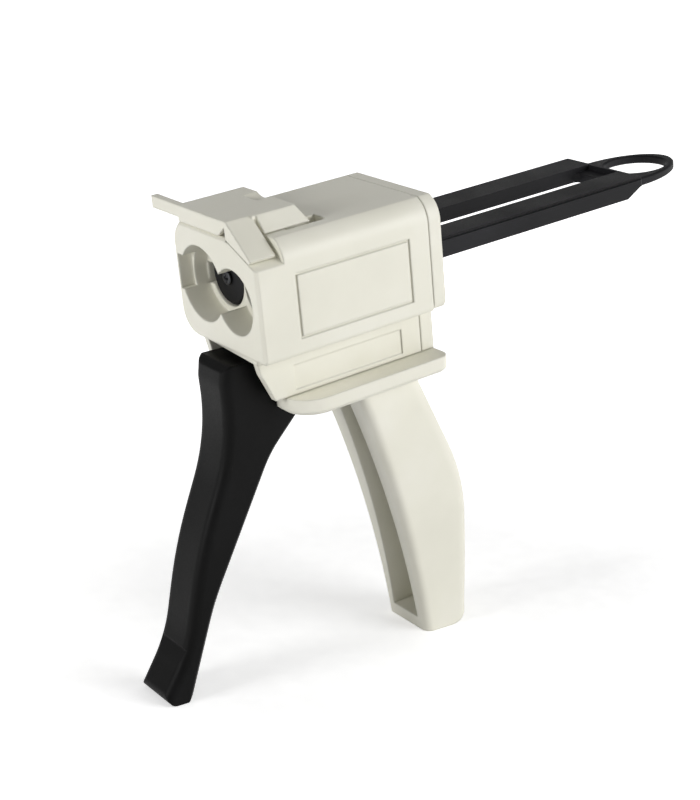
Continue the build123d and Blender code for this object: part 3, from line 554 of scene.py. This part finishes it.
class StudioSettings(PropertyGroup):
    """Floor, lamps, surround and camera."""

    floor_colour: StringProperty(name="Floor colour", description="Pale floor, as sRGB hex",
                                 default="#FFFFFF")
    shadow_inner: FloatProperty(name="Shadow inner", default=0.08, min=0.0, unit="LENGTH",
                                description="Radius where the floor starts to brighten")
    shadow_outer: FloatProperty(name="Shadow outer", default=0.32, min=0.0, unit="LENGTH",
                                description="Radius from which the floor is plain white")
    shadow_glow: FloatProperty(name="Shadow glow", description="Glow of the floor at the tool",
                               default=0.42, min=0.0, max=1.0, subtype="FACTOR")
    key_place: FloatVectorProperty(name="Key lamp place",
                                   description="Where the near side lamp stands",
                                   default=(0.66, -1.0, 0.5), subtype="TRANSLATION",
                                   unit="LENGTH")
    key_size: FloatVectorProperty(name="Key lamp size", description="Width and height",
                                  default=(0.9, 0.7), size=2, unit="LENGTH")
    key_power: FloatProperty(name="Key lamp power", description="Power of the near side lamp",
                             default=11.0, min=0.0, unit="POWER")
    front_place: FloatVectorProperty(name="Front lamp place",
                                     description="Where the lamp ahead of the muzzle stands",
                                     default=(-1.15, 0.06, 0.36), subtype="TRANSLATION",
                                     unit="LENGTH")
    front_size: FloatVectorProperty(name="Front lamp size", description="Width and height",
                                    default=(0.35, 0.35), size=2, unit="LENGTH")
    front_power: FloatProperty(name="Front lamp power", description="Power of the lamp ahead",
                               default=5.5, min=0.0, unit="POWER")
    surround: FloatProperty(name="Surround", description="Strength of the white surround",
                            default=0.26, min=0.0)
    camera_place: FloatVectorProperty(name="Camera place",
                                      description="Where the camera stands",
                                      default=(-0.3357, -0.4329, 0.2630),
                                      subtype="TRANSLATION", unit="LENGTH")
    lens: FloatProperty(name="Lens", description="Focal length on a 36 mm wide sensor",
                        default=80.1, min=10.0, max=300.0, unit="CAMERA")


class DISPENSER_OT_shell(Operator):
    """Finish of the ivory casing, rear cap, handle frame and latch."""

    bl_idname = "dispenser.shell"
    bl_label = "Ivory shell"

    def execute(self, context):
        shell = context.scene.dispenser_shell
        # ABS, injection moulded in a spark-eroded mould: an even, warm ivory that breaks
        # the light softly, with a grain that only shows in the highlight.
        ivory = moulded_plastic("moulded_ivory_abs", shell.dark, shell.colour, shell.light,
                                shell.roughness, grain=0.45, relief=0.010, edge_highlight=0.35,
                                edge_radius=1.0)
        give(ivory, "front_housing", "rear_cap", "handle_frame", "latch")
        return {"FINISHED"}


class DISPENSER_OT_trigger(Operator):
    """Finish of the black trigger."""

    bl_idname = "dispenser.trigger"
    bl_label = "Trigger"

    def execute(self, context):
        trigger = context.scene.dispenser_trigger
        # Nylon, moulded in an etched mould: near black, with a broad soft highlight.
        black = moulded_plastic("moulded_black_nylon", trigger.dark, trigger.colour,
                                trigger.light, trigger.roughness, grain=0.5, relief=0.014,
                                edge_highlight=0.25, edge_radius=1.0, gloss_level=0.09)
        give(black, "trigger")
        return {"FINISHED"}


class DISPENSER_OT_plunger(Operator):
    """Finish of the plunger and its discs."""

    bl_idname = "dispenser.plunger"
    bl_label = "Plunger"

    def execute(self, context):
        plunger = context.scene.dispenser_plunger
        # Nylon filled with glass fibre: stiff, matt and faintly grey where fibres surface.
        black = moulded_plastic("moulded_glass_filled_nylon", plunger.dark, plunger.colour,
                                plunger.light, plunger.roughness, grain=0.4, relief=0.016,
                                edge_highlight=0.4, edge_radius=0.3, gloss_level=0.15)
        give(black, "plunger", "large_disc", "small_disc")
        return {"FINISHED"}


class DISPENSER_OT_pawls(Operator):
    """Finishes of the drive pawl, the release lever and the trigger's bushes."""

    bl_idname = "dispenser.pawls"
    bl_label = "Pawls and bushes"

    def execute(self, context):
        works = context.scene.dispenser_works
        # Acetal, injection moulded: dense, smooth and slightly waxy, in black and in its
        # own milky white.
        black = moulded_plastic("moulded_black_acetal", "#1B1B1D", works.pawl_colour, "#303033",
                                roughness=0.38, grain=0.6, relief=0.006, edge_highlight=0.2,
                                edge_radius=0.2)
        give(black, "drive_pawl", "release_lever")
        natural = moulded_plastic("moulded_natural_acetal", "#DCDBD4", works.bush_colour,
                                  "#F1F0EC", roughness=0.34, grain=0.6, relief=0.004,
                                  edge_highlight=0.2, edge_radius=0.15)
        give(natural, "trigger_bushes")
        return {"FINISHED"}


class DISPENSER_OT_pins(Operator):
    """Finish of the pins that the trigger, the pawls and the latch turn on."""

    bl_idname = "dispenser.pins"
    bl_label = "Pins"

    def execute(self, context):
        works = context.scene.dispenser_works
        # Steel, ground between wheels: bright, with fine lines round the pin.
        ground = steel("ground_steel_pin", "#9FA1A4", works.pin_colour, "#CFD1D3",
                       roughness=0.24, line_spacing=0.08, stretch=0.4)
        give(ground, "trigger_pin", "drive_pawl_pin", "release_pin", "latch_pin")
        return {"FINISHED"}


class DISPENSER_OT_springs(Operator):
    """Round-wire torsion springs in place of the CAD springs, and their finish."""

    bl_idname = "dispenser.springs"
    bl_label = "Springs"

    def execute(self, context):
        works = context.scene.dispenser_works
        # Spring steel, drawn through a die: greyer than the pins, with long faint lines.
        drawn = steel("drawn_spring_steel", "#84868A", works.spring_colour, "#C2C4C6",
                      roughness=0.3, line_spacing=0.06, stretch=4.0)
        pivots = {joint["name"]: joint.get("pos_m") for joint in frame["joints"]}
        for node, joint, body, sizes in SPRINGS:
            shape = wire_spring(**sizes, pitch=works.coil_pitch * sizes["wire"])
            spring = grid_piece(node + "_wire", [lean(shape) + pivots[joint]], body)
            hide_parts(node)
            give(drawn, spring.name, node)
        return {"FINISHED"}


class DISPENSER_OT_screws(Operator):
    """Threaded cross-head screws of the rear cap, the frame and the discs."""

    bl_idname = "dispenser.screws"
    bl_label = "Screws"

    def execute(self, context):
        screws = context.scene.dispenser_screws
        pitch = screws.pitch / MM
        # Steel, zinc plated: pale and bright, faintly lined by turning.
        zinc = steel("zinc_plated_screw", "#A9ABAE", screws.colour, "#DCDDDE",
                     roughness=0.28, line_spacing=0.15, stretch=1.0)
        # Steel, blackened in a phosphate bath: dull and dark, and grey where a driver turned.
        dark = steel("phosphated_screw", "#2B2C2E", screws.disc_colour, "#58595C",
                     roughness=0.42, line_spacing=0.15, stretch=1.0)

        shape = screw(**LONG_SCREW, length=screws.cap_length / MM, pitch=pitch)
        rear = [place(turn_screw(shape, face, "+X")) for face in CAP_SCREW_FACES]
        rear = grid_piece("cap_screws_threaded", rear, "frame")
        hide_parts("cap_screws")
        shape = screw(**LONG_SCREW, length=screws.frame_length / MM, pitch=pitch)
        below = [place(turn_screw(shape, FRAME_SCREW_FACE, "-Z"))]
        below = grid_piece("frame_screw_threaded", below, "frame")
        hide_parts("frame_screw")
        give(zinc, rear.name, below.name, "cap_screws", "frame_screw")

        shape = screw(**SHORT_SCREW)
        front = [place(turn_screw(shape, face, "-X")) for face in DISC_SCREW_FACES]
        front = grid_piece("disc_screws", front, "plunger")
        give(dark, front.name)
        return {"FINISHED"}


class DISPENSER_OT_studio(Operator):
    """Floor, lamps, surround and camera."""

    bl_idname = "dispenser.studio"
    bl_label = "Studio"

    def execute(self, context):
        studio = context.scene.dispenser_studio
        give(white_paper(studio), make_floor().name)
        # The large lamp is on the near side towards the back and the small one straight
        # ahead of the muzzle, so the sockets and the handle's channel stay in shade.
        make_lamp("key_lamp", studio.key_place, studio.key_size, studio.key_power)
        make_lamp("front_lamp", studio.front_place, studio.front_size, studio.front_power)
        make_world(studio.surround)
        make_camera(studio.camera_place, studio.lens)
        return {"FINISHED"}


# Settings' name in the scene, the settings, and the operators that use them
SECTIONS = [
    ("dispenser_shell", ShellSettings, [DISPENSER_OT_shell]),
    ("dispenser_trigger", TriggerSettings, [DISPENSER_OT_trigger]),
    ("dispenser_plunger", PlungerSettings, [DISPENSER_OT_plunger]),
    ("dispenser_works", WorksSettings,
     [DISPENSER_OT_pawls, DISPENSER_OT_pins, DISPENSER_OT_springs]),
    ("dispenser_screws", ScrewSettings, [DISPENSER_OT_screws]),
    ("dispenser_studio", StudioSettings, [DISPENSER_OT_studio]),
]


class DISPENSER_PT_panel(Panel):
    """Sizes and colours of the dispensing gun, and a button for each group of pieces."""

    bl_idname = "DISPENSER_PT_panel"
    bl_label = "Dispensing gun"
    bl_space_type = "VIEW_3D"
    bl_region_type = "UI"
    bl_category = "Dispenser"

    def draw(self, context):
        for attribute, group, operators in SECTIONS:
            box = self.layout.box()
            for name in group.__annotations__:
                box.prop(getattr(context.scene, attribute), name)
            for operator in operators:
                box.operator(operator.bl_idname)


def register():
    """Registers the settings, the operators and the panel."""
    for attribute, group, operators in SECTIONS:
        bpy.utils.register_class(group)
        setattr(bpy.types.Scene, attribute, PointerProperty(type=group))
        for operator in operators:
            bpy.utils.register_class(operator)
    bpy.utils.register_class(DISPENSER_PT_panel)


def unregister():
    """Takes them away again."""
    bpy.utils.unregister_class(DISPENSER_PT_panel)
    for attribute, group, operators in reversed(SECTIONS):
        for operator in operators:
            bpy.utils.unregister_class(operator)
        delattr(bpy.types.Scene, attribute)
        bpy.utils.unregister_class(group)


def main():
    """Makes every piece in order."""
    register()
    bpy.context.scene.view_settings.view_transform = "Standard"
    bpy.ops.dispenser.shell()
    bpy.ops.dispenser.trigger()
    bpy.ops.dispenser.plunger()
    bpy.ops.dispenser.pawls()
    bpy.ops.dispenser.pins()
    bpy.ops.dispenser.springs()
    bpy.ops.dispenser.screws()
    bpy.ops.dispenser.studio()


if __name__ == "__main__":
    main()
